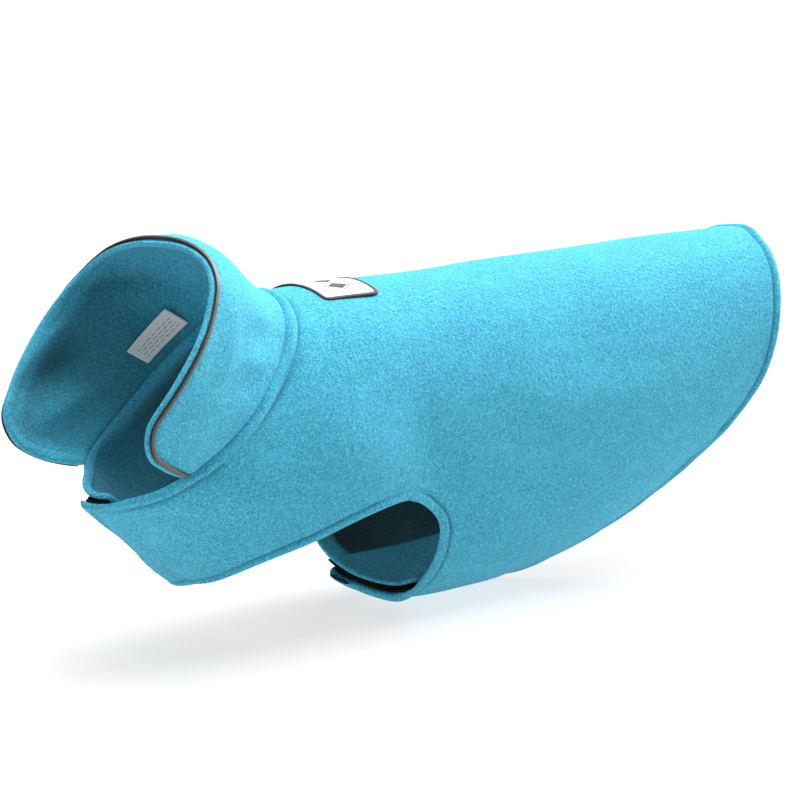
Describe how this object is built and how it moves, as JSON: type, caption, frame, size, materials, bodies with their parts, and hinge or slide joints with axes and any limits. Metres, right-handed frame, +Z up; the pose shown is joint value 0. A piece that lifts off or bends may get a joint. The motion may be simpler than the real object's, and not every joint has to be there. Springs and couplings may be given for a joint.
{
  "type": "dog winter coat",
  "caption": "Fleece dog coat with a raised stand collar, wrapped chest flaps and belly straps, filled out with no wearer.",
  "frame": {"origin": "at the withers, on the inner face of the back along the spine", "axes": "+X from the neck to the tail, +Y to the right side of the coat, +Z up"},
  "size_m": [0.7561, 0.2312, 0.3427],
  "materials": {
    "fleece": "brushed fleece with a short nap",
    "piping": "grey-brown reflective piping with dark borders",
    "tape": "black hook tape and loop tape",
    "woven": "stiff white woven patch with a black border",
    "satin": "white satin label"
  },
  "bodies": {
    "root": {"body_panel": "fleece", "collar": "fleece", "collar_piping": "piping", "chest_loop_tape": "tape", "chest_hook_tape": "tape", "belly_loop_tape": "tape", "belly_hook_tape": "tape", "back_label": "woven", "size_label": "satin"}
  },
  "joints": []
}
